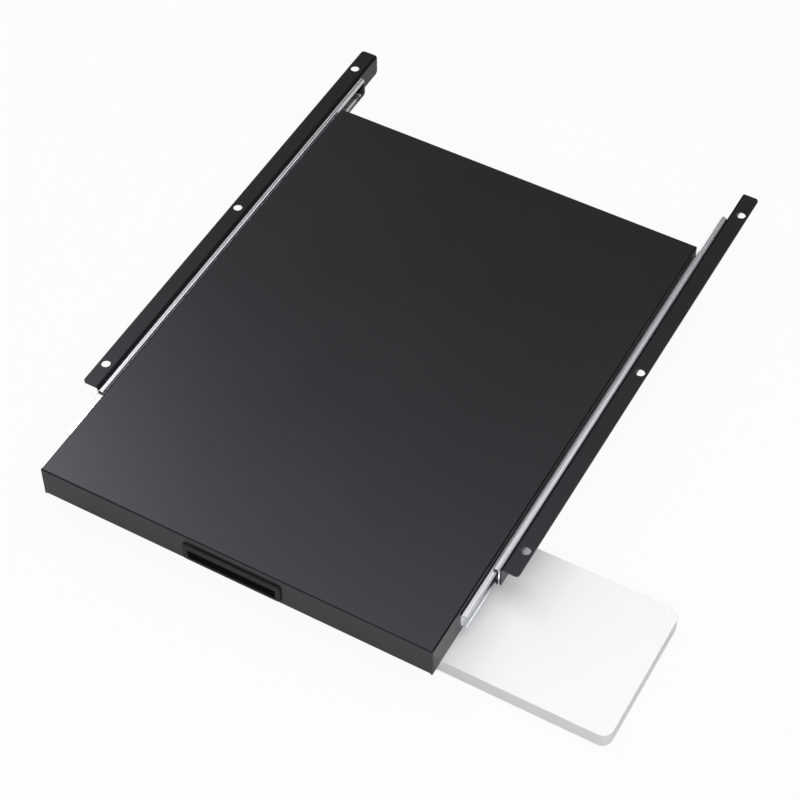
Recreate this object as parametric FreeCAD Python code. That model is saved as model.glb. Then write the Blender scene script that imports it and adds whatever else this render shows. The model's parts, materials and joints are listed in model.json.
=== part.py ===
import FreeCAD, Part
import math
import os
from FreeCAD import Vector

# Sliding rack shelf: a folded steel tray on two ball slides between flanged rack brackets, with a white
# mouse table that slides out to the right beneath the tray.
# Millimetres. X to the right, Y to the back, Z up. The origin is the centre of the rack screw holes, on the
# plane where the bracket flanges sit on the rack. The rest pose is the tray pulled out a little and the
# mouse table fully out.

# Tray
tray_width = 425.0
tray_depth = 570.0
tray_height = 37.0
tray_sheet = 1.2
tray_fold = 0.6           # inside radius of the folds, and the open seam at each corner
tray_rise = 2.3           # top panel above the top of the bracket flanges
tray_return = 12.0        # inward return along the lower edge of each skirt

# Brackets
bracket_sheet = 1.6
bracket_bend = 1.4        # inside radius of the fold
flange_width = 18.5       # from the rail side of the web to the outer edge
flange_end = 30.0         # from an end hole to the end of the flange
flange_corner = 3.8
web_height = 25.0
web_chamfer = 2.8
rack_hole_pitch = 247.0   # front to middle and middle to rear
rack_hole_edge = 7.3      # from the hole centre to the outer edge of the flange
rack_hole_diameter = 9.5

# Ball slides
slide_space = 10.0        # from the side of the tray to the bracket web
slide_height = 25.0
slide_drop = 0.2          # top of the outer rail below the top of the flange
rail_sheet = 1.0
outer_rail_length = 515.0
outer_rail_depth = 6.95   # from the bracket web to the curled lip
outer_rail_lead = 1.5     # outer rail ahead of the front end of the flange
outer_rail_bend = 0.4
shoulder_drop = 2.2       # edge of the outer rail's web below the level part of its flange
shoulder_level = 1.25     # level part of the flange, before the lip curls
lip_wrap = 15.0           # degrees that the lip wraps below the middle of the balls
ball_diameter = 3.0
ball_clearance = 0.2
balls_per_row = 6
race_depth = 0.45         # groove along the flanges of the inner rail
inner_rail_gap = 1.5      # from the inside of the outer rail's web to the inner rail's flange edges
inner_rail_bend = 1.0
inner_rail_setback = 52.0  # from the front of the tray to the front of the inner rail

# Ball cages
cage_sheet = 0.6
cage_gap = 0.45           # between the cage and each rail
cage_bend = 0.5
cage_end = 6.0            # from the last ball to the end of the cage
pocket_clearance = 0.15

# Stops and travel
pulled_out = 58.0         # how far out the tray stands at rest
travel_out = 327.0        # further travel from rest to the front stop
stop_gap = 0.5
front_stop_length = 12.0
front_stop_setback = 1.0
front_stop_room = 1.6     # between the front stop and the flanges of the inner rail
front_stop_depth = 5.0
stop_peg_diameter = 4.0
bumper_length = 5.0
bumper_room = 0.6         # between the bumper and the flanges of the inner rail
bumper_depth = 7.0
rear_tab_inset = 0.5      # rear tab inside the edge of the bumper
rear_tab_depth = 5.0
inner_tab_height = 7.0

# Recessed pull in the front skirt
pull_width = 107.0
pull_height = 23.3
pull_lift = 3.7           # above the lower edge of the skirt
pull_proud = 2.0
pull_corner = 4.0
pull_edge = 0.8
pull_wall = 1.8
pull_depth = 16.0         # of the cup behind the face of the skirt
pull_rim = 3.2            # bezel past the cup on each side
mouth_width = 96.0
mouth_height = 12.0
mouth_lift = 3.7          # above the lower edge of the bezel
mouth_corner = 1.2
finger_rise = 4.0         # pocket behind the top band, above the mouth
cutout_clearance = 0.3

# Stiffeners under the top panel
stiffener_sheet = 1.0
stiffener_bend = 1.0
stiffener_crown = 30.0
stiffener_foot = 11.0
rear_stiffener_height = 20.0
rear_stiffener_back = 175.0   # from the rear of the tray to the middle of the rear stiffener
stiffener_end_gap = 1.0

# Mouse table and its guides
table_width = 290.0
table_depth = 154.9
table_thickness = 17.4
table_out = 168.3         # beyond the right side of the tray
table_travel = 162.0      # from fully out to pushed in
table_setback = 17.8      # behind the front of the tray
table_gap = 0.9           # below the lower edge of the skirts
table_corner = 17.0
table_inner_corner = 3.0
table_edge = 0.5
guide_sheet = 1.2
guide_bend = 0.8
guide_play = 0.8          # beside the board
guide_rest = 0.3          # under the board
guide_lip = 12.0          # under the board
guide_foot = 14.0         # under the tray
guide_end_gap = 8.0       # from the right side of the tray to the end of the guides
guide_stop_length = 8.0
guide_stop_extra = 8.0

# Fasteners
screw_diameter = 4.0
screw_head_diameter = 7.4
screw_head_height = 1.8
screw_head_chamfer = 0.8
nut_across = 7.0
nut_height = 3.2
bracket_screw_front = 63.0   # from the front of the outer rail
bracket_screw_rear = 37.0    # from the rear of the outer rail
bracket_screw_shift = 17.0   # middle screw ahead of halfway, clear of the middle rack hole
tray_screw_front = 88.0      # from the front of the inner rail
tray_screw_rear = 53.5       # from where the inner rail or the skirt ends
guide_screw_inset = 40.0     # from each end of a guide

# Heights
flange_top = bracket_sheet
tray_top = flange_top + tray_rise
tray_bottom = tray_top - tray_height
web_bottom = flange_top - web_height
slide_middle = flange_top - slide_drop - slide_height / 2
table_top = tray_bottom - table_gap
table_bottom = table_top - table_thickness

# Places across
tray_side = tray_width / 2
web_side = tray_side + slide_space
flange_side = web_side + flange_width
rack_hole_side = flange_side - rack_hole_edge

# Places from front to back
flange_front = -rack_hole_pitch - flange_end
flange_rear = rack_hole_pitch + flange_end
outer_front = flange_front - outer_rail_lead
outer_rear = outer_front + outer_rail_length
inner_front = outer_front - pulled_out
bumper_front = outer_rear - rail_sheet - bumper_length
inner_rear = bumper_front - stop_gap - pulled_out
tray_front = inner_front - inner_rail_setback
tray_rear = tray_front + tray_depth
table_front = tray_front + table_setback
table_rear = table_front + table_depth
front_stop_rear = outer_front + front_stop_setback + front_stop_length
cage_length = inner_rear - rail_sheet - travel_out - front_stop_rear - 2 * stop_gap
cage_front = front_stop_rear + stop_gap + travel_out / 2
ball_pitch = (cage_length - 2 * cage_end) / (balls_per_row - 1)
bracket_screw_ends = (outer_front + bracket_screw_front, outer_rear - bracket_screw_rear)
bracket_screw_ys = (*bracket_screw_ends, sum(bracket_screw_ends) / 2 - bracket_screw_shift)
tray_screw_ends = (inner_front + tray_screw_front, min(inner_rear, tray_rear) - tray_screw_rear)
tray_screw_ys = (*tray_screw_ends, sum(tray_screw_ends) / 2)

# Slide section, measured from the bracket web towards the tray and from the middle of the slide up
ball_radius = ball_diameter / 2
race_radius = ball_radius + ball_clearance
curl_radius = race_radius + rail_sheet
ball_in = outer_rail_depth - curl_radius
ball_up = slide_height / 2 - curl_radius
inner_half = ball_up - race_radius + race_depth
inner_edge = rail_sheet + inner_rail_gap
trough_half = ball_up - curl_radius
front_stop_half = trough_half - front_stop_room
bumper_half = trough_half - bumper_room

tray_bend = tray_sheet + tray_fold
ALONG_X = FreeCAD.Rotation(Vector(1, 1, 1), 120)
ALONG_Y = FreeCAD.Rotation(Vector(1, 0, 0), 90)
UP = Vector(0, 0, 1)
ACROSS = Vector(1, 0, 0)
BACK = Vector(0, 1, 0)
NEAR = 0.01                # closer than this is the same place


def flat(a, b):
    return Vector(a, b, 0)


def box(x0, x1, y0, y1, z0, z1):
    return Part.makeBox(x1 - x0, y1 - y0, z1 - z0, Vector(x0, y0, z0))


def corner_arc(before, corner, after, radius):
    """Start, middle and end of the arc that rounds a corner."""
    way_in = (corner - before).normalize()
    way_out = (after - corner).normalize()
    turn = way_in.getAngle(way_out)
    tangent = radius * math.tan(turn / 2)
    start = corner - way_in * tangent
    end = corner + way_out * tangent
    inward = (way_out - way_in).normalize()
    middle = corner + inward * (radius / math.cos(turn / 2) - radius)
    return start, middle, end


def straight(start, end):
    """A straight edge, or none where the points coincide."""
    if start.distanceToPoint(end) < NEAR:
        return []
    return [Part.makeLine(start, end)]


def rounded_run(points, radii):
    """Edges along a run of points, rounded at each inner point."""
    edges = []
    here = points[0]
    for before, corner, after, radius in zip(points, points[1:], points[2:], radii):
        start, middle, end = corner_arc(before, corner, after, radius)
        edges += straight(here, start)
        edges.append(Part.Arc(start, middle, end).toShape())
        here = end
    return edges + straight(here, points[-1])


def left_of(start, end):
    way = (end - start).normalize()
    return Vector(-way.y, way.x, 0)


def sheet_section(run, sheet, inside_radius):
    """Section of a folded strip: the run is one face of it, and the sheet lies to the left of the run."""
    normals = [left_of(a, b) for a, b in zip(run, run[1:])]
    far = [run[0] + normals[0] * sheet]
    near_radii = []
    far_radii = []
    for corner, first, second in zip(run[1:], normals, normals[1:]):
        far.append(corner + (first + second) * (sheet / (1 + first.dot(second))))
        folds_left = first.cross(second).z > 0
        near_radii.append(inside_radius + sheet if folds_left else inside_radius)
        far_radii.append(inside_radius if folds_left else inside_radius + sheet)
    far.append(run[-1] + normals[-1] * sheet)
    edges = rounded_run(run, near_radii)
    edges.append(Part.makeLine(run[-1], far[-1]))
    edges += rounded_run(far[::-1], far_radii[::-1])
    edges.append(Part.makeLine(far[0], run[0]))
    return Part.Face(Part.Wire(edges))


def curl_section(center, inner, outer, start, end):
    """Section of a sheet curled about a centre, between two angles in degrees."""
    def at(radius, degrees):
        turn = math.radians(degrees)
        return center + flat(radius * math.cos(turn), radius * math.sin(turn))
    middle = (start + end) / 2
    edges = [
        Part.Arc(at(outer, start), at(outer, middle), at(outer, end)).toShape(),
        Part.makeLine(at(outer, end), at(inner, end)),
        Part.Arc(at(inner, end), at(inner, middle), at(inner, start)).toShape(),
        Part.makeLine(at(inner, start), at(outer, start)),
    ]
    return Part.Face(Part.Wire(edges))


def drawn_along_y(section, front, rear):
    """A section drawn in X and Z, carried from front to rear."""
    solid = section.extrude(UP * (rear - front))
    solid.Placement = FreeCAD.Placement(Vector(0, rear, 0), ALONG_Y)
    return solid


def drawn_along_x(section, left, right):
    """A section drawn in Y and Z, carried from left to right."""
    solid = section.extrude(UP * (right - left))
    solid.Placement = FreeCAD.Placement(Vector(left, 0, 0), ALONG_X)
    return solid


def joined(solids):
    return solids[0].fuse(solids[1:]).removeSplitter()


def mirrored(shape):
    return shape.mirror(Vector(0, 0, 0), ACROSS)


def rounded_edges(shape, radius, chosen):
    return shape.makeFillet(radius, [edge for edge in shape.Edges if chosen(edge)])


def runs_along(edge, way):
    ends = edge.Vertexes
    if len(ends) < 2:
        return False
    return abs((ends[1].Point - ends[0].Point).normalize().dot(way)) > 0.999


def slide_point(inward, upward):
    """A point of the left slide's section, as X and Z."""
    return flat(inward - web_side, slide_middle + upward)


def slide_box(inward0, inward1, half_height, y0, y1):
    low = slide_middle - half_height
    high = slide_middle + half_height
    return box(inward0 - web_side, inward1 - web_side, y0, y1, low, high)


def race_line(radius, side, y0, y1):
    """A cylinder along the upper or lower row of balls."""
    center = slide_point(ball_in, side * ball_up)
    return Part.makeCylinder(radius, y1 - y0, Vector(center.x, y0, center.y), BACK)


def mirrored_below(shape):
    return shape.mirror(Vector(0, 0, slide_middle), UP)


# Fasteners

def screw(seat, way, grip):
    """A pan-head screw: the head stands on the seat, the shank runs along the way for the grip."""
    shank = screw_diameter / 2
    head = screw_head_diameter / 2
    side = screw_head_height - screw_head_chamfer
    outline = (
        (0, screw_head_height),
        (0, -grip),
        (shank, -grip),
        (shank, 0),
        (head, 0),
        (head, side),
        (head - screw_head_chamfer, screw_head_height),
        (0, screw_head_height),
    )
    profile = Part.makePolygon([Vector(radius, 0, height) for radius, height in outline])
    solid = Part.Face(profile).revolve(Vector(0, 0, 0), UP, 360)
    solid.Placement = FreeCAD.Placement(seat, FreeCAD.Rotation(UP, way * -1))
    return solid


def nut(seat, way):
    """A hexagon nut that stands on the seat along the way."""
    corner = ACROSS * (nut_across / math.sqrt(3))
    corners = [FreeCAD.Rotation(UP, 60 * k).multVec(corner) for k in range(7)]
    solid = Part.Face(Part.makePolygon(corners)).extrude(UP * nut_height)
    solid = solid.cut(Part.makeCylinder(screw_diameter / 2, nut_height))
    solid.Placement = FreeCAD.Placement(seat, FreeCAD.Rotation(UP, way))
    return solid


def screw_hole(seat, way, length):
    return Part.makeCylinder(screw_diameter / 2, length, seat, way)


# Brackets and outer rails, made on the left side

def bracket():
    run = [
        flat(-web_side, web_bottom),
        flat(-web_side, flange_top),
        flat(-flange_side, flange_top),
    ]
    strip = drawn_along_y(sheet_section(run, bracket_sheet, bracket_bend), flange_front, flange_rear)

    def outer_corner(edge):
        return runs_along(edge, UP) and edge.CenterOfMass.x < -flange_side + NEAR

    strip = rounded_edges(strip, flange_corner, outer_corner)

    def lower_rear_corner(edge):
        place = edge.CenterOfMass
        at_corner = place.y > flange_rear - NEAR and place.z < web_bottom + NEAR
        return at_corner and runs_along(edge, ACROSS)

    strip = strip.makeChamfer(web_chamfer, [edge for edge in strip.Edges if lower_rear_corner(edge)])
    for y in (-rack_hole_pitch, 0, rack_hole_pitch):
        center = Vector(-rack_hole_side, y, 0)
        strip = strip.cut(Part.makeCylinder(rack_hole_diameter / 2, bracket_sheet, center))
    for y in bracket_screw_ys:
        strip = strip.cut(screw_hole(bracket_screw_seat(y), ACROSS, bracket_sheet))
    return strip


def bracket_screw_seat(y):
    return Vector(-web_side - bracket_sheet, y, slide_middle)


def bracket_screws():
    grip = bracket_sheet + rail_sheet
    return Part.makeCompound([screw(bracket_screw_seat(y), ACROSS, grip) for y in bracket_screw_ys])


def outer_rail():
    half = slide_height / 2
    web_half = half - shoulder_drop
    level_in = ball_in - shoulder_level
    upper = ((ball_in, half), (level_in, half), (0, web_half))
    corners = upper + tuple((inward, -upward) for inward, upward in upper[::-1])
    run = [slide_point(*corner) for corner in corners]
    channel = drawn_along_y(sheet_section(run, rail_sheet, outer_rail_bend), outer_front, outer_rear)
    curl = curl_section(slide_point(ball_in, ball_up), race_radius, curl_radius, -lip_wrap, 90)
    lip = drawn_along_y(curl, outer_front, outer_rear)
    tab_half = bumper_half - rear_tab_inset
    tab = slide_box(rail_sheet, rail_sheet + rear_tab_depth, tab_half, outer_rear - rail_sheet, outer_rear)
    rail = joined([channel, lip, mirrored_below(lip), tab])
    for y in bracket_screw_ys:
        rail = rail.cut(screw_hole(Vector(-web_side, y, slide_middle), ACROSS, rail_sheet))
    return rail.cut(front_stop_peg())


def front_stop_peg():
    middle = outer_front + front_stop_setback + front_stop_length / 2
    seat = Vector(-web_side, middle, slide_middle)
    return Part.makeCylinder(stop_peg_diameter / 2, rail_sheet, seat, ACROSS)


def front_stop():
    start = outer_front + front_stop_setback
    inner_face = rail_sheet + front_stop_depth
    block = slide_box(rail_sheet, inner_face, front_stop_half, start, front_stop_rear)

    def nose_edge(edge):
        return edge.CenterOfMass.x > inner_face - web_side - NEAR

    block = block.makeChamfer(rail_sheet, [edge for edge in block.Edges if nose_edge(edge)])
    return joined([block, front_stop_peg()])


def rear_bumper():
    rear = bumper_front + bumper_length
    block = slide_box(rail_sheet, rail_sheet + bumper_depth, bumper_half, bumper_front, rear)

    def front_edge(edge):
        return edge.CenterOfMass.y < bumper_front + NEAR

    return rounded_edges(block, rail_sheet, front_edge)


# Inner rails, cages and balls, made on the left side

def tray_screw_seat(y):
    return Vector(-tray_side - rail_sheet, y, slide_middle)


def inner_rail():
    corners = (
        (inner_edge, -inner_half),
        (slide_space, -inner_half),
        (slide_space, inner_half),
        (inner_edge, inner_half),
    )
    run = [slide_point(*corner) for corner in corners]
    rail = drawn_along_y(sheet_section(run, rail_sheet, inner_rail_bend), inner_front, inner_rear)
    trough_limit = slide_box(inner_edge, slide_space - rail_sheet, inner_half, inner_front, inner_rear)
    for side in (1, -1):
        rail = rail.fuse(race_line(curl_radius, side, inner_front, inner_rear).common(trough_limit))
        rail = rail.cut(race_line(race_radius, side, inner_front, inner_rear))
    tab_edge = rail_sheet + cage_gap + cage_sheet / 2
    tab_half = inner_tab_height / 2
    tab = slide_box(tab_edge, slide_space - rail_sheet, tab_half, inner_rear - rail_sheet, inner_rear)
    rail = joined([rail, tab])
    for y in tray_screw_ys:
        rail = rail.cut(screw_hole(tray_screw_seat(y), ACROSS, rail_sheet))
    return rail


def tray_screws():
    grip = rail_sheet + tray_sheet + nut_height
    return Part.makeCompound([screw(tray_screw_seat(y), ACROSS, grip) for y in tray_screw_ys])


def tray_nuts():
    nuts = []
    for y in tray_screw_ys:
        nuts.append(nut(tray_screw_seat(y) + ACROSS * (rail_sheet + tray_sheet), ACROSS))
    return Part.makeCompound(nuts)


def ball_centers():
    centers = []
    for side in (1, -1):
        for k in range(balls_per_row):
            point = slide_point(ball_in, side * ball_up)
            centers.append(Vector(point.x, cage_front + cage_end + k * ball_pitch, point.y))
    return centers


def ball_cage():
    near = rail_sheet + cage_gap
    leg_end = outer_rail_depth - rail_sheet - cage_gap
    half = ball_up + cage_sheet / 2
    corners = ((leg_end, half), (near, half), (near, -half), (leg_end, -half))
    run = [slide_point(*corner) for corner in corners]
    cage = drawn_along_y(sheet_section(run, cage_sheet, cage_bend), cage_front, cage_front + cage_length)
    pockets = []
    for center in ball_centers():
        base = center - UP * cage_sheet
        pockets.append(Part.makeCylinder(ball_radius + pocket_clearance, 2 * cage_sheet, base))
    return cage.cut(pockets)


def balls():
    return Part.makeCompound([Part.makeSphere(ball_radius, center) for center in ball_centers()])


# Tray

corner_relief = tray_bend   # the returns of the end skirts stop short of the sides by this


def end_skirt(face, way):
    """Front or rear skirt with its folds. The way points into the tray."""
    plain = [flat(face + way * tray_bend, tray_top), flat(face, tray_top), flat(face, tray_bottom)]
    returned = plain + [flat(face + way * tray_return, tray_bottom)]
    reach = tray_side - corner_relief
    stretches = ((returned, -reach, reach), (plain, -tray_side, -reach), (plain, reach, tray_side))
    pieces = []
    for run, left, right in stretches:
        run = run if way > 0 else run[::-1]
        pieces.append(drawn_along_x(sheet_section(run, tray_sheet, tray_fold), left, right))
    return pieces


def pan():
    """The top panel with the side skirts."""
    plain = [
        flat(tray_side, tray_bottom),
        flat(tray_side, tray_top),
        flat(-tray_side, tray_top),
        flat(-tray_side, tray_bottom),
    ]
    edge = tray_side - tray_return
    returned = [flat(edge, tray_bottom)] + plain + [flat(-edge, tray_bottom)]
    front = tray_front + tray_bend
    rear = tray_rear - tray_bend
    pieces = []
    for run, y0, y1 in (
        (plain, front, front + tray_return),
        (returned, front + tray_return, rear - tray_return),
        (plain, rear - tray_return, rear),
    ):
        pieces.append(drawn_along_y(sheet_section(run, tray_sheet, tray_fold), y0, y1))
    return pieces


def shelf_tray():
    tray = joined(pan() + end_skirt(tray_front, 1) + end_skirt(tray_rear, -1))
    holes = []
    for y in tray_screw_ys:
        seat = tray_screw_seat(y) + ACROSS * rail_sheet
        holes.append(screw_hole(seat, ACROSS, tray_sheet))
        holes.append(mirrored(holes[-1]))
    for x in guide_screw_xs():
        holes.append(screw_hole(Vector(x, front_guide_screw_y, tray_bottom), UP, tray_sheet))
    tray = tray.cut(holes)
    return tray.cut(pull_cutout())


# Recessed pull

pull_z0 = tray_bottom + pull_lift
pull_z1 = pull_z0 + pull_height
mouth_z0 = pull_z0 + mouth_lift
mouth_z1 = mouth_z0 + mouth_height
cup_z1 = mouth_z1 + finger_rise + pull_wall
cup_z0 = mouth_z0 - pull_wall
cup_half = pull_width / 2 - pull_rim


def pull_cutout():
    half = cup_half + cutout_clearance
    low = cup_z0 - cutout_clearance
    high = cup_z1 + cutout_clearance
    return box(-half, half, tray_front, tray_front + tray_sheet, low, high)


def pull_cup():
    def along_depth(edge):
        return runs_along(edge, BACK)

    face = tray_front - pull_proud
    bezel = box(-pull_width / 2, pull_width / 2, face, tray_front, pull_z0, pull_z1)
    bezel = rounded_edges(bezel, pull_corner, along_depth)

    def front_rim(edge):
        return edge.BoundBox.YMax < face + NEAR

    bezel = rounded_edges(bezel, pull_edge, front_rim)
    cup = box(-cup_half, cup_half, tray_front, tray_front + pull_depth, cup_z0, cup_z1)
    cup = rounded_edges(cup, mouth_corner, along_depth)
    half = mouth_width / 2
    mouth = box(-half, half, face, tray_front + pull_depth - pull_wall, mouth_z0, mouth_z1)
    mouth = rounded_edges(mouth, mouth_corner, along_depth)
    pocket_rear = tray_front + pull_depth - pull_wall
    pocket = box(-half, half, tray_front, pocket_rear, mouth_z0, mouth_z1 + finger_rise)
    pocket = rounded_edges(pocket, mouth_corner, along_depth)
    return joined([bezel, cup]).cut([mouth, pocket])


# Stiffeners

def stiffener(middle, height):
    """A hat section with its feet on the underside of the top panel and its crown downwards."""
    under = tray_top - tray_sheet
    foot = under - stiffener_sheet
    crown = under - height
    half = stiffener_crown / 2
    run = [
        flat(middle - half - stiffener_foot, foot),
        flat(middle - half, foot),
        flat(middle - half, crown),
        flat(middle + half, crown),
        flat(middle + half, foot),
        flat(middle + half + stiffener_foot, foot),
    ]
    reach = tray_side - tray_return - stiffener_end_gap
    return drawn_along_x(sheet_section(run, stiffener_sheet, stiffener_bend), -reach, reach)


front_stiffener_middle = table_rear + guide_play + guide_sheet + stiffener_crown / 2
rear_stiffener_middle = tray_rear - rear_stiffener_back
front_guide_screw_y = tray_front + tray_bend + (tray_return - tray_bend) / 2
rear_guide_screw_y = table_rear + guide_play + guide_sheet + guide_foot / 2


def front_stiffener():
    solid = stiffener(front_stiffener_middle, tray_height - tray_sheet)
    for x in guide_screw_xs():
        solid = solid.cut(screw_hole(Vector(x, rear_guide_screw_y, tray_bottom), UP, stiffener_sheet))
    return solid


def rear_stiffener():
    return stiffener(rear_stiffener_middle, rear_stiffener_height)


# Mouse table and guides

table_right = tray_side + table_out
table_left = table_right - table_width
guide_right = tray_side - guide_end_gap
guide_left = table_left - table_travel - stop_gap
guide_under = table_bottom - guide_rest


def guide_screw_xs():
    return (guide_left + guide_screw_inset, guide_right - guide_screw_inset)


def mouse_table():
    board = box(table_left, table_right, table_front, table_rear, table_bottom, table_top)

    def outer_corner(edge):
        return runs_along(edge, UP) and edge.CenterOfMass.x > table_right - NEAR

    def inner_corner(edge):
        return runs_along(edge, UP) and edge.CenterOfMass.x < table_left + NEAR

    board = rounded_edges(board, table_corner, outer_corner)
    board = rounded_edges(board, table_inner_corner, inner_corner)

    def face_edge(edge):
        return edge.BoundBox.ZLength < NEAR

    board = rounded_edges(board, table_edge, face_edge)
    for seat in table_stop_seats():
        board = board.cut(screw_hole(seat, UP, table_thickness / 2))
    return board


def table_stop_seats():
    """Under the inner end of the board, just inside the guides' lips, behind their widened ends."""
    x = guide_right - guide_stop_length - stop_gap - screw_head_diameter / 2
    inset = guide_lip + stop_gap + screw_head_diameter / 2
    return [Vector(x, table_front + inset, table_bottom), Vector(x, table_rear - inset, table_bottom)]


def table_stop_screws():
    return Part.makeCompound([screw(seat, UP, table_thickness / 2) for seat in table_stop_seats()])


def folded_guide(edge, way, foot, screw_y):
    """A folded Z strip: a foot under the tray, a web beside the board and a lip under it.

    The edge is the board's edge, and the way points from it to the middle of the board."""
    web = edge - way * guide_play
    lip_end = edge + way * guide_lip
    run = [
        flat(lip_end, guide_under),
        flat(web, guide_under),
        flat(web, tray_bottom),
        flat(web - way * (guide_sheet + foot), tray_bottom),
    ]
    if way < 0:
        run = [flat(-point.x, point.y) for point in run]
    strip = drawn_along_x(sheet_section(run, guide_sheet, guide_bend), guide_left, guide_right)
    if way < 0:
        strip = strip.mirror(Vector(0, 0, 0), BACK)
    tab_y = sorted((web - way * guide_sheet, lip_end))
    tab_z = (guide_under - guide_sheet, table_top - guide_rest)
    end_tab = box(guide_left - guide_sheet, guide_left, *tab_y, *tab_z)
    wide = sorted((lip_end, lip_end + way * guide_stop_extra))
    wing_z = (guide_under - guide_sheet, guide_under)
    stop_wing = box(guide_right - guide_stop_length, guide_right, wide[0], wide[1], *wing_z)
    strip = joined([strip, end_tab, stop_wing])
    for x in guide_screw_xs():
        strip = strip.cut(screw_hole(Vector(x, screw_y, tray_bottom - guide_sheet), UP, guide_sheet))
    return strip


def front_table_guide():
    foot = table_front - guide_play - guide_sheet - tray_front - tray_bend
    return folded_guide(table_front, 1, foot, front_guide_screw_y)


def rear_table_guide():
    return folded_guide(table_rear, -1, guide_foot, rear_guide_screw_y)


def guide_screw_seats():
    seats = []
    for x in guide_screw_xs():
        seats.append((Vector(x, front_guide_screw_y, tray_bottom - guide_sheet), tray_sheet))
        seats.append((Vector(x, rear_guide_screw_y, tray_bottom - guide_sheet), stiffener_sheet))
    return seats


def table_guide_screws():
    screws = [screw(seat, UP, guide_sheet + sheet + nut_height) for seat, sheet in guide_screw_seats()]
    return Part.makeCompound(screws)


def table_guide_nuts():
    nuts = [nut(seat + UP * (guide_sheet + sheet), UP) for seat, sheet in guide_screw_seats()]
    return Part.makeCompound(nuts)


PAIRS = {
    "bracket": bracket,
    "outer_rail": outer_rail,
    "front_stop": front_stop,
    "rear_bumper": rear_bumper,
    "bracket_screws": bracket_screws,
    "inner_rail": inner_rail,
    "tray_screws": tray_screws,
    "tray_nuts": tray_nuts,
    "ball_cage": ball_cage,
    "balls": balls,
}
SINGLES = {
    "shelf_tray": shelf_tray,
    "pull_cup": pull_cup,
    "front_stiffener": front_stiffener,
    "rear_stiffener": rear_stiffener,
    "mouse_table": mouse_table,
    "table_stop_screws": table_stop_screws,
    "front_table_guide": front_table_guide,
    "rear_table_guide": rear_table_guide,
    "table_guide_screws": table_guide_screws,
    "table_guide_nuts": table_guide_nuts,
}

os.makedirs("parts", exist_ok=True)
for name, make in PAIRS.items():
    piece = make()
    piece.exportStep(f"parts/left_{name}.step")
    mirrored(piece).exportStep(f"parts/right_{name}.step")
for name, make in SINGLES.items():
    make().exportStep(f"parts/{name}.step")
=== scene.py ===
"""Looks of the sliding rack shelf: coated steel, zinc slides, black plastic and a white board."""
import json
import math

import bmesh
import bpy
from mathutils import Matrix, Vector


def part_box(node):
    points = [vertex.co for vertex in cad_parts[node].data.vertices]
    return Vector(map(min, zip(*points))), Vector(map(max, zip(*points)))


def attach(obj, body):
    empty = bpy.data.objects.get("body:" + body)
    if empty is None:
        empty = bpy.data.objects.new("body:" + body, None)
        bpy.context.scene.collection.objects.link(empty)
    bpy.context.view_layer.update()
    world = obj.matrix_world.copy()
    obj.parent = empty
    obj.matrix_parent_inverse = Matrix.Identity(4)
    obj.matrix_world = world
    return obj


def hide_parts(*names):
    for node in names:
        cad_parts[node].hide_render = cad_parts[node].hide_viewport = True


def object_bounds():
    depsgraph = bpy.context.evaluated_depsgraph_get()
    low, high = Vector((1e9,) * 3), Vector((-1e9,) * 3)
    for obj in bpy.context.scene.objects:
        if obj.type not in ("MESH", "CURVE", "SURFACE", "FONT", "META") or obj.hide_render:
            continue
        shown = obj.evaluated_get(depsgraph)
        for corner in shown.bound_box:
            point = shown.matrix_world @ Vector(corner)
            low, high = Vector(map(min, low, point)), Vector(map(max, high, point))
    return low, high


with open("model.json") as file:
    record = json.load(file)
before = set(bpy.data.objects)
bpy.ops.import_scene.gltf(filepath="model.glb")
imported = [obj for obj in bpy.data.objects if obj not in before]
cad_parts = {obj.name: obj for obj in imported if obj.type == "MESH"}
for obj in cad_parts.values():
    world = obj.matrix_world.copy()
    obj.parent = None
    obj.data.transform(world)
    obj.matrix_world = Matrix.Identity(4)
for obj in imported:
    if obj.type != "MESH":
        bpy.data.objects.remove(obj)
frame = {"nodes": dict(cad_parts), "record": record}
cad_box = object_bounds()
scene = bpy.context.scene
scene.view_settings.view_transform = "Standard"
nodes = frame["nodes"]

# Camera, in metres and degrees, with the lens and the sensor in millimetres
CAMERA_PLACE = Vector((0.71638, -1.34309, 1.66937))
CAMERA_AZIMUTH = 29.339
CAMERA_ELEVATION = 50.537
CAMERA_ROLL = -0.168
CAMERA_LENS = 99.536
CAMERA_SENSOR = 36.0

# Grain and soft edges that the finishes share
FINE_RATIO = 3.1
COARSE_NOISE = {"Detail": 2.0, "Roughness": 0.55}
FINE_NOISE = {"Detail": 1.0, "Roughness": 0.5}
DRIFT_NOISE = {"Detail": 3.0, "Roughness": 0.6}
NOISE_SPAN = (0.3, 0.7)
EDGE_SAMPLES = 6
EDGE_AGREEMENT = (0.995, 0.90)

# Black coat, with lengths in metres, grain in cells a metre and colours with their alpha
COAT_GRAIN = {"Grain": 620.0, "Fine_share": 0.4, "Drift": 7.0}
COAT_EDGE_RADIUS = 0.0005
COAT_COLOURS = ((0.0102, 0.0102, 0.0116, 1.0), (0.0122, 0.0122, 0.0137, 1.0))
# Paler edge colour: a painted highlight along the coat's edges, with some wear
COAT_EDGE_HIGHLIGHT_COLOUR = (0.045, 0.045, 0.049, 1.0)
COAT_ROUGHNESS = (0.33, 0.35)
COAT_BUMP = {"Strength": 0.12, "Distance": 0.0002}
COAT_IOR = 1.52
# Bluish tint of the coat's reflections, a painted stand-in for bluish light
COAT_LIGHT_TINT = (0.92, 0.89, 1.0, 1.0)
COAT_SHINE = 0.5
# Lower shine for the left bracket's copy of the coat, a painted shade for light that falls more strongly on
# the left
SHADED_COPY_SHINE = 0.36

# Slant over which the coat's shine is turned down on the folds that run front to back, a painted shade for
# the dark room they would reflect
FOLD_SLANT = (0.02, 0.30)

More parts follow.
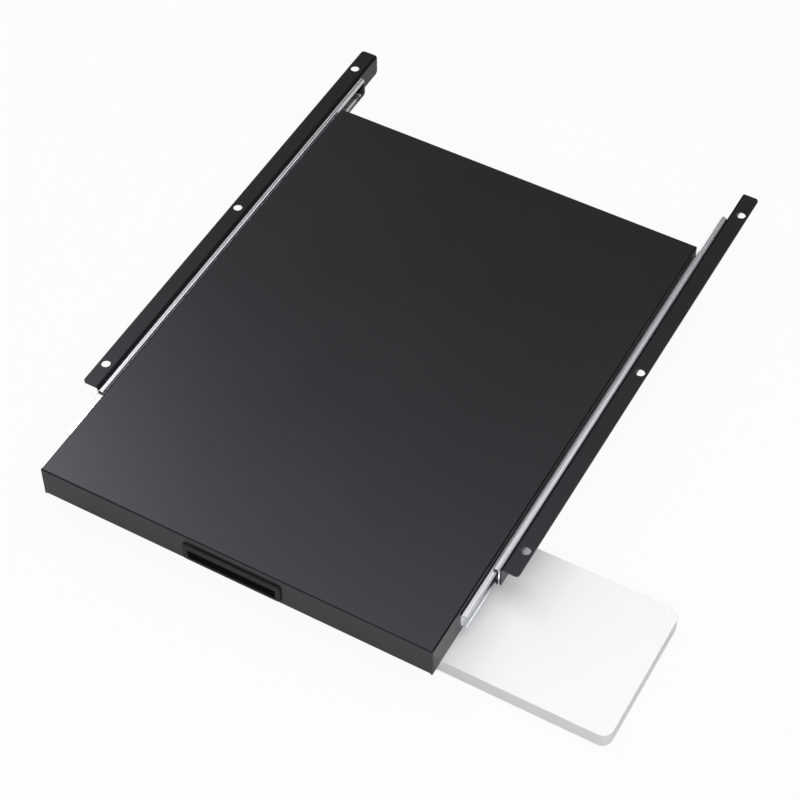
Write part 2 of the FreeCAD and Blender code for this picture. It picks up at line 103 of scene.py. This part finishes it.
# Zinc plate
ZINC_GRAIN = {"Grain": 400.0, "Fine_share": 0.5, "Drift": 30.0}
ZINC_LINES = (300.0, 6.0, 300.0)
ZINC_LINE_NOISE = {"Detail": 2.0, "Roughness": 0.6}
ZINC_COLOURS = ((0.84, 0.86, 0.89, 1.0), (0.90, 0.915, 0.94, 1.0))
ZINC_ROUGHNESS = (0.28, 0.295)

# Painted shade on the inner face of the outer rails' webs, from the middle plane and the frame's level, in
# metres
CHANNEL_SHADE_COLOUR = (0.17, 0.18, 0.175, 1.0)
CHANNEL_FRONT = (0.2206, 0.2211)
CHANNEL_BACK = (0.2223, 0.2226)
CHANNEL_TOP = (-0.0030, -0.0015)

# Bearing balls
BALL_GRAIN = {"Grain": 900.0, "Fine_share": 0.5, "Drift": 300.0}
BALL_COLOURS = ((0.80, 0.81, 0.83, 1.0), (0.87, 0.88, 0.89, 1.0))
BALL_ROUGHNESS = (0.07, 0.12)

# Black plastic
PLASTIC_GRAIN = {"Grain": 1500.0, "Fine_share": 0.5, "Drift": 40.0}
PLASTIC_EDGE_RADIUS = 0.0006
PLASTIC_COLOURS = ((0.0070, 0.0070, 0.0070, 1.0), (0.0095, 0.0095, 0.0095, 1.0))
# Paler edge colour: a painted highlight along the plastic's edges
PLASTIC_EDGE_HIGHLIGHT_COLOUR = (0.060, 0.060, 0.062, 1.0)
PLASTIC_ROUGHNESS = (0.42, 0.52)
PLASTIC_BUMP = {"Strength": 0.15, "Distance": 0.0001}
PLASTIC_SHINE = 0.29

# White laminate
LAMINATE_GRAIN = {"Grain": 1100.0, "Fine_share": 0.4, "Drift": 14.0}
LAMINATE_EDGE_RADIUS = 0.0006
LAMINATE_COLOURS = ((0.836, 0.831, 0.852, 1.0), (0.860, 0.855, 0.875, 1.0))
LAMINATE_ROUGHNESS = (0.38, 0.48)
LAMINATE_BUMP = {"Strength": 0.10, "Distance": 0.0001}

# Mouse table's board, in metres and degrees
BOARD_CORNER = 0.011
BOARD_INNER_CORNER = 0.003
BOARD_CORNER_STEPS = 12
BOARD_ARRIS = 0.0005
BOARD_ARRIS_STEPS = 2
ROUND_PROFILE = 0.5
SMOOTH_ANGLE = 20.0

# Floor, in metres
FLOOR_REACH = 30.0
FLOOR_GAP = 0.0005
FLOOR_WHITE = (0.55, 0.55, 0.55, 1.0)
FLOOR_ROUGHNESS = 0.9
FLOOR_SHINE = 0.0
BACKGROUND_SHARE = 0.94
REFLECTION_SHARE = 0.18

# Lamps, in metres and watts
AIM = Vector((0.0, -0.1, 0.0))
BELOW = Vector((0.0, 0.0, -1.0))
BEFORE = Vector((0.0, -1.0, 0.0))
CEILING_BOX_PLACE = Vector((-0.3, 0.08, 2.0))
CEILING_BOX_LENGTH = 4.4
CEILING_BOX_WIDTH = 1.49
CEILING_BOX_POWER = 36.0
SIDE_LAMP_PLACE = Vector((-1.285, 0.485, 1.69))
SIDE_LAMP_SIZE = 0.25
SIDE_LAMP_POWER = 3.4
FILL_PLACE = Vector((1.1, -1.9, 1.75))
FILL_SIZE = 1.2
FILL_POWER = 36.0
RIGHT_CARD_PLACE = Vector((1.20, 1.20, 1.55))
RIGHT_CARD_LENGTH = 1.9
RIGHT_CARD_HEIGHT = 1.0
RIGHT_CARD_POWER = 8.5

# Room: the brightness of its walls, and the part of a direction over which each wall ends
LEFT_WALL_LEVEL = 1.15
LEFT_WALL_TOP = (0.54, 0.64)
LEFT_WALL_SIDE = (-0.58, -0.48)
WALL_LEVEL = 0.70
WALL_TOP = (0.22, 0.40)
WALL_FRONT = (-0.40, 0.05)
CEILING_LEVEL = 0.08


# Shader helpers

def new_material(name):
    """A new material, its node tree and its Principled BSDF."""
    material = bpy.data.materials.new(name)
    material.use_nodes = True
    tree = material.node_tree
    return material, tree, tree.nodes["Principled BSDF"]


def add(tree, kind, **values):
    """A node with its properties set by name."""
    node = tree.nodes.new(kind)
    for name, value in values.items():
        setattr(node, name, value)
    return node


def socket_value(node, **values):
    """Sets input sockets by name, where an underscore stands for a space."""
    for name, value in values.items():
        node.inputs[name.replace("_", " ")].default_value = value
    return node


def feed(tree, value, socket):
    """Links an input socket to an output socket, or sets it to a plain value."""
    if isinstance(value, bpy.types.NodeSocket):
        tree.links.new(value, socket)
    else:
        socket.default_value = value


def new_group(name, inputs, outputs):
    """A shader node group with float inputs and typed outputs."""
    group = bpy.data.node_groups.new(name, "ShaderNodeTree")
    for label in inputs:
        group.interface.new_socket(label, in_out="INPUT", socket_type="NodeSocketFloat")
    for label, kind in outputs.items():
        group.interface.new_socket(label, in_out="OUTPUT", socket_type=kind)
    entry = group.nodes.new("NodeGroupInput")
    leave = group.nodes.new("NodeGroupOutput")
    return group, entry, leave


def place_group(tree, group, **values):
    """A node of a group, with all its inputs set by name."""
    node = add(tree, "ShaderNodeGroup", node_tree=group)
    return socket_value(node, **values)


def noise(tree, vector, scale, **values):
    """Noise over a vector, at a scale that may be a socket or a plain number."""
    node = socket_value(add(tree, "ShaderNodeTexNoise"), **values)
    tree.links.new(vector, node.inputs["Vector"])
    feed(tree, scale, node.inputs["Scale"])
    return node.outputs["Fac"]


def combined(tree, operation, *values):
    """Floats put together by a math node; each may be a socket or a plain number."""
    node = add(tree, "ShaderNodeMath", operation=operation)
    for socket, value in zip(node.inputs, values):
        feed(tree, value, socket)
    return node.outputs[0]


def axes_of(tree, vector):
    """The three parts of a vector, by the names of the axes."""
    node = add(tree, "ShaderNodeSeparateXYZ")
    tree.links.new(vector, node.inputs["Vector"])
    return node.outputs


def facing_axes(tree):
    """The three parts of the direction that a face looks in."""
    here = add(tree, "ShaderNodeNewGeometry")
    return axes_of(tree, here.outputs["Normal"])


def ramp_between(tree, factor, low, high):
    """A float that runs from low to high as the factor runs over the noise's span."""
    node = add(tree, "ShaderNodeMapRange")
    socket_value(node, From_Min=NOISE_SPAN[0], From_Max=NOISE_SPAN[1], To_Min=low, To_Max=high)
    tree.links.new(factor, node.inputs["Value"])
    return node.outputs["Result"]


def step_between(tree, value, limits, full=1.0):
    """A smooth step down from full to nothing as the value runs between the limits."""
    node = add(tree, "ShaderNodeMapRange", interpolation_type="SMOOTHSTEP")
    socket_value(node, From_Min=limits[0], From_Max=limits[1], To_Min=full, To_Max=0.0)
    tree.links.new(value, node.inputs["Value"])
    return node.outputs["Result"]


def colour_between(tree, factor, low, high):
    """A colour that runs from low to high with the factor; each may be a socket or a plain colour."""
    node = add(tree, "ShaderNodeMix", data_type="RGBA")
    tree.links.new(factor, node.inputs["Factor"])
    feed(tree, low, node.inputs["A"])
    feed(tree, high, node.inputs["B"])
    return node.outputs["Result"]


def shader_between(tree, factor, low, high):
    """A shader that runs from low to high with the factor."""
    node = add(tree, "ShaderNodeMixShader")
    tree.links.new(factor, node.inputs["Fac"])
    tree.links.new(low, node.inputs[1])
    tree.links.new(high, node.inputs[2])
    return node.outputs["Shader"]


def bumped(tree, shader, grain, edge, bump):
    """Joins the grain's height, over the softened edges, to the shader's Normal."""
    node = socket_value(add(tree, "ShaderNodeBump"), **bump)
    tree.links.new(grain.outputs["Height"], node.inputs["Height"])
    tree.links.new(edge.outputs["Normal"], node.inputs["Normal"])
    tree.links.new(node.outputs["Normal"], shader.inputs["Normal"])


def grain_group():
    """Height of a two-scale grain and a slow drift, both on Object coordinates."""
    group, entry, leave = new_group(
        "surface_grain",
        ("Grain", "Fine share", "Drift"),
        {"Height": "NodeSocketFloat", "Drift mask": "NodeSocketFloat"},
    )
    place = add(group, "ShaderNodeTexCoord").outputs["Object"]
    coarse = noise(group, place, entry.outputs["Grain"], **COARSE_NOISE)
    finer = combined(group, "MULTIPLY", entry.outputs["Grain"], FINE_RATIO)
    fine = noise(group, place, finer, **FINE_NOISE)
    both = add(group, "ShaderNodeMix")
    group.links.new(entry.outputs["Fine share"], both.inputs["Factor"])
    group.links.new(coarse, both.inputs["A"])
    group.links.new(fine, both.inputs["B"])
    drift = noise(group, place, entry.outputs["Drift"], **DRIFT_NOISE)
    group.links.new(both.outputs["Result"], leave.inputs["Height"])
    group.links.new(drift, leave.inputs["Drift mask"])
    return group


def soft_edge_group():
    """Normal rounded over sharp edges, and a mask that is one along them."""
    group, entry, leave = new_group(
        "soft_edges",
        ("Radius",),
        {"Normal": "NodeSocketVector", "Edge mask": "NodeSocketFloat"},
    )
    bevel = add(group, "ShaderNodeBevel", samples=EDGE_SAMPLES)
    group.links.new(entry.outputs["Radius"], bevel.inputs["Radius"])
    here = add(group, "ShaderNodeNewGeometry")
    agree = add(group, "ShaderNodeVectorMath", operation="DOT_PRODUCT")
    group.links.new(bevel.outputs["Normal"], agree.inputs[0])
    group.links.new(here.outputs["Normal"], agree.inputs[1])
    mask = add(group, "ShaderNodeMapRange")
    socket_value(mask, From_Min=EDGE_AGREEMENT[0], From_Max=EDGE_AGREEMENT[1])
    group.links.new(agree.outputs["Value"], mask.inputs["Value"])
    group.links.new(bevel.outputs["Normal"], leave.inputs["Normal"])
    group.links.new(mask.outputs["Result"], leave.inputs["Edge mask"])
    return group


SURFACE_GRAIN = grain_group()
SOFT_EDGES = soft_edge_group()


# Materials

def black_coat(name, shine):
    """Satin black powder coat: a fine orange-peel grain, a slow drift of gloss, paler edges that are a
    painted highlight with some wear, and painted shade on the folds.
    """
    material, tree, shader = new_material(name)
    grain = place_group(tree, SURFACE_GRAIN, **COAT_GRAIN)
    edge = place_group(tree, SOFT_EDGES, Radius=COAT_EDGE_RADIUS)
    tone = colour_between(tree, grain.outputs["Drift mask"], *COAT_COLOURS)
    # Paler edges: a painted highlight, with some wear
    edge_highlighted = colour_between(tree, edge.outputs["Edge mask"], tone, COAT_EDGE_HIGHLIGHT_COLOUR)
    tree.links.new(edge_highlighted, shader.inputs["Base Color"])
    rough = ramp_between(tree, grain.outputs["Drift mask"], *COAT_ROUGHNESS)
    tree.links.new(rough, shader.inputs["Roughness"])
    bumped(tree, shader, grain, edge, COAT_BUMP)
    # Painted shade: the shine is turned down where the face slants between up and sideways, on the folds
    facing = facing_axes(tree)
    slant = combined(tree, "MULTIPLY", facing["X"], facing["Z"])
    folded = combined(tree, "ABSOLUTE", slant)
    fold_shaded_gloss = step_between(tree, folded, FOLD_SLANT, shine)
    tree.links.new(fold_shaded_gloss, shader.inputs["Specular IOR Level"])
    # Specular tint: painted bluish light on the coat's reflections
    socket_value(shader, IOR=COAT_IOR, Specular_Tint=COAT_LIGHT_TINT)
    return material


def channel_mask(tree, place):
    """One on the inner faces of the outer rails' webs, where the shade is painted, and nothing elsewhere.
    """
    axes = axes_of(tree, place)
    across = combined(tree, "ABSOLUTE", axes["X"])
    before_back = step_between(tree, across, CHANNEL_BACK)
    before_front = step_between(tree, across, CHANNEL_FRONT)
    inside = combined(tree, "SUBTRACT", before_back, before_front)
    upright = combined(tree, "ABSOLUTE", facing_axes(tree)["X"])
    below = step_between(tree, axes["Z"], CHANNEL_TOP)
    return combined(tree, "MULTIPLY", inside, combined(tree, "MULTIPLY", upright, below))


def zinc_plate():
    """Satin zinc on rolled strip: faint draw lines along the rail, a cloudy tone and painted shade in the
    channels.
    """
    material, tree, shader = new_material("bright_zinc")
    place = add(tree, "ShaderNodeTexCoord").outputs["Object"]
    stretch = socket_value(add(tree, "ShaderNodeMapping"), Scale=ZINC_LINES)
    tree.links.new(place, stretch.inputs["Vector"])
    lines = noise(tree, stretch.outputs["Vector"], 1.0, **ZINC_LINE_NOISE)
    grain = place_group(tree, SURFACE_GRAIN, **ZINC_GRAIN)
    tone = colour_between(tree, grain.outputs["Drift mask"], *ZINC_COLOURS)
    # Painted shade: a darker colour on the inner faces of the outer rails' webs
    channel_shaded = colour_between(tree, channel_mask(tree, place), tone, CHANNEL_SHADE_COLOUR)
    tree.links.new(channel_shaded, shader.inputs["Base Color"])
    rough = ramp_between(tree, lines, *ZINC_ROUGHNESS)
    tree.links.new(rough, shader.inputs["Roughness"])
    socket_value(shader, Metallic=1.0)
    return material


def polished_steel():
    """Polished bearing balls."""
    material, tree, shader = new_material("polished_balls")
    grain = place_group(tree, SURFACE_GRAIN, **BALL_GRAIN)
    tone = colour_between(tree, grain.outputs["Drift mask"], *BALL_COLOURS)
    tree.links.new(tone, shader.inputs["Base Color"])
    rough = ramp_between(tree, grain.outputs["Height"], *BALL_ROUGHNESS)
    tree.links.new(rough, shader.inputs["Roughness"])
    socket_value(shader, Metallic=1.0)
    return material


def moulded_black():
    """Black moulded plastic with a fine eroded texture and paler edges that are a painted highlight."""
    material, tree, shader = new_material("black_moulding")
    grain = place_group(tree, SURFACE_GRAIN, **PLASTIC_GRAIN)
    edge = place_group(tree, SOFT_EDGES, Radius=PLASTIC_EDGE_RADIUS)
    tone = colour_between(tree, grain.outputs["Drift mask"], *PLASTIC_COLOURS)
    # Paler edges: a painted highlight
    edge_highlighted = colour_between(tree, edge.outputs["Edge mask"], tone, PLASTIC_EDGE_HIGHLIGHT_COLOUR)
    tree.links.new(edge_highlighted, shader.inputs["Base Color"])
    rough = ramp_between(tree, grain.outputs["Height"], *PLASTIC_ROUGHNESS)
    tree.links.new(rough, shader.inputs["Roughness"])
    bumped(tree, shader, grain, edge, PLASTIC_BUMP)
    socket_value(shader, Specular_IOR_Level=PLASTIC_SHINE)
    return material


def white_laminate():
    """White satin laminate with a pearl grain and a barely uneven white."""
    material, tree, shader = new_material("white_laminate")
    grain = place_group(tree, SURFACE_GRAIN, **LAMINATE_GRAIN)
    edge = place_group(tree, SOFT_EDGES, Radius=LAMINATE_EDGE_RADIUS)
    tone = colour_between(tree, grain.outputs["Drift mask"], *LAMINATE_COLOURS)
    tree.links.new(tone, shader.inputs["Base Color"])
    rough = ramp_between(tree, grain.outputs["Height"], *LAMINATE_ROUGHNESS)
    tree.links.new(rough, shader.inputs["Roughness"])
    bumped(tree, shader, grain, edge, LAMINATE_BUMP)
    return material


FINISHES = {
    "black_coat": black_coat("black_powder_coat", COAT_SHINE),
    "zinc_plate": zinc_plate(),
    "bright_steel": polished_steel(),
    "black_plastic": moulded_black(),
    "white_board": white_laminate(),
}
# Painted shade: the left bracket gets a copy of the coat with less shine
SHADED_COAT_COPY = {"left_bracket": black_coat("shaded_powder_coat_copy", SHADED_COPY_SHINE)}


def finish_nodes():
    """Gives every CAD node the finish of its material slot, and the left bracket a copy of the coat with
    less shine, a painted shade.
    """
    for part in frame["record"]["subparts"]:
        piece = nodes[part["node"]]
        piece.data.materials.clear()
        piece.data.materials.append(SHADED_COAT_COPY.get(part["node"], FINISHES[part["material_slot"]]))


# Pieces

def board():
    """The mouse table's board in its own box, with round corners and eased edges."""
    low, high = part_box("mouse_table")
    shape = bmesh.new()
    inner = [shape.verts.new((low[0], y, low[2])) for y in (high[1], low[1])]
    outer = [shape.verts.new((high[0], y, low[2])) for y in (low[1], high[1])]
    shape.faces.new(inner + outer)
    for corners, radius in ((outer, BOARD_CORNER), (inner, BOARD_INNER_CORNER)):
        bmesh.ops.bevel(shape, geom=corners, offset=radius, segments=BOARD_CORNER_STEPS,
                        profile=ROUND_PROFILE, affect="VERTICES", material=-1)
    raised = bmesh.ops.extrude_face_region(shape, geom=shape.faces[:])["geom"]
    upper = [item for item in raised if isinstance(item, bmesh.types.BMVert)]
    bmesh.ops.translate(shape, verts=upper, vec=(0, 0, high[2] - low[2]))
    bmesh.ops.recalc_face_normals(shape, faces=shape.faces)
    level = [edge for edge in shape.edges if edge.verts[0].co.z == edge.verts[1].co.z]
    bmesh.ops.bevel(shape, geom=level, offset=BOARD_ARRIS, segments=BOARD_ARRIS_STEPS,
                    profile=ROUND_PROFILE, affect="EDGES", material=-1)
    mesh = bpy.data.meshes.new("table_board")
    shape.to_mesh(mesh)
    shape.free()
    mesh.shade_smooth()
    mesh.set_sharp_from_angle(angle=math.radians(SMOOTH_ANGLE))
    mesh.materials.append(FINISHES["white_board"])
    piece = bpy.data.objects.new("table_board", mesh)
    scene.collection.objects.link(piece)
    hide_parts("mouse_table")
    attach(piece, "mouse_table")


# Studio

def floor():
    """A pale floor just under the object that keeps a soft shadow, and is clear when seen from below."""
    mesh = bpy.data.meshes.new("floor")
    shape = bmesh.new()
    bmesh.ops.create_grid(shape, x_segments=1, y_segments=1, size=FLOOR_REACH)
    bmesh.ops.translate(shape, verts=shape.verts, vec=(0, 0, cad_box[0][2] - FLOOR_GAP))
    shape.to_mesh(mesh)
    shape.free()
    piece = bpy.data.objects.new("floor", mesh)
    scene.collection.objects.link(piece)
    material, tree, shader = new_material("floor_white")
    socket_value(shader, Base_Color=FLOOR_WHITE, Roughness=FLOOR_ROUGHNESS, Specular_IOR_Level=FLOOR_SHINE)
    glow = add(tree, "ShaderNodeEmission")
    path = add(tree, "ShaderNodeLightPath")
    mirrored = combined(tree, "MULTIPLY", path.outputs["Is Glossy Ray"], REFLECTION_SHARE)
    share = combined(tree, "MULTIPLY_ADD", path.outputs["Is Camera Ray"], BACKGROUND_SHARE, mirrored)
    above = shader_between(tree, share, shader.outputs["BSDF"], glow.outputs["Emission"])
    side = add(tree, "ShaderNodeNewGeometry")
    clear = add(tree, "ShaderNodeBsdfTransparent")
    surface = shader_between(tree, side.outputs["Backfacing"], above, clear.outputs["BSDF"])
    tree.links.new(surface, tree.nodes["Material Output"].inputs["Surface"])
    mesh.materials.append(material)


def sky():
    """A low bright wall behind and beside the shelf, a taller one to its left, and a dark room above."""
    world = bpy.data.worlds.new("studio")
    world.use_nodes = True
    scene.world = world
    tree = world.node_tree
    way = axes_of(tree, add(tree, "ShaderNodeTexCoord").outputs["Generated"])
    front = step_between(tree, way["Y"], WALL_FRONT)
    back = combined(tree, "SUBTRACT", 1.0, front)
    low = step_between(tree, way["Z"], WALL_TOP, WALL_LEVEL)
    tall = step_between(tree, way["Z"], LEFT_WALL_TOP, LEFT_WALL_LEVEL)
    left = step_between(tree, way["X"], LEFT_WALL_SIDE)
    tall_left = combined(tree, "MULTIPLY", tall, left)
    wall = combined(tree, "MULTIPLY", combined(tree, "MAXIMUM", low, tall_left), back)
    room = combined(tree, "ADD", wall, CEILING_LEVEL)
    path = add(tree, "ShaderNodeLightPath")
    seen = combined(tree, "MAXIMUM", room, path.outputs["Is Camera Ray"])
    tree.links.new(seen, tree.nodes["Background"].inputs["Color"])


def lamp(name, place, power, aim, size, width=None):
    """A soft lamp turned to a point: a round one, or a box where a width is given."""
    light = bpy.data.lights.new(name, "AREA")
    light.shape = "RECTANGLE" if width else "DISK"
    light.size = size
    light.size_y = width or size
    light.energy = power
    piece = bpy.data.objects.new(name, light)
    piece.location = place
    piece.rotation_euler = (aim - place).to_track_quat("-Z", "Y").to_euler()
    scene.collection.objects.link(piece)


def camera():
    """The photo's view."""
    lens = bpy.data.cameras.new("view")
    lens.lens = CAMERA_LENS
    lens.sensor_width = CAMERA_SENSOR
    lens.sensor_fit = "HORIZONTAL"
    piece = bpy.data.objects.new("view", lens)
    turn = Matrix.Rotation(math.radians(CAMERA_AZIMUTH), 4, "Z")
    tilt = Matrix.Rotation(math.radians(90 - CAMERA_ELEVATION), 4, "X")
    roll = Matrix.Rotation(math.radians(CAMERA_ROLL), 4, "Z")
    piece.matrix_world = Matrix.Translation(CAMERA_PLACE) @ turn @ tilt @ roll
    scene.collection.objects.link(piece)
    scene.camera = piece


finish_nodes()
board()
floor()
sky()
lamp("ceiling_box", CEILING_BOX_PLACE, CEILING_BOX_POWER, CEILING_BOX_PLACE + BELOW,
     CEILING_BOX_LENGTH, CEILING_BOX_WIDTH)
lamp("right_card", RIGHT_CARD_PLACE, RIGHT_CARD_POWER, RIGHT_CARD_PLACE + BEFORE,
     RIGHT_CARD_LENGTH, RIGHT_CARD_HEIGHT)
lamp("side_lamp", SIDE_LAMP_PLACE, SIDE_LAMP_POWER, AIM, SIDE_LAMP_SIZE)
lamp("fill", FILL_PLACE, FILL_POWER, AIM, FILL_SIZE)
camera()
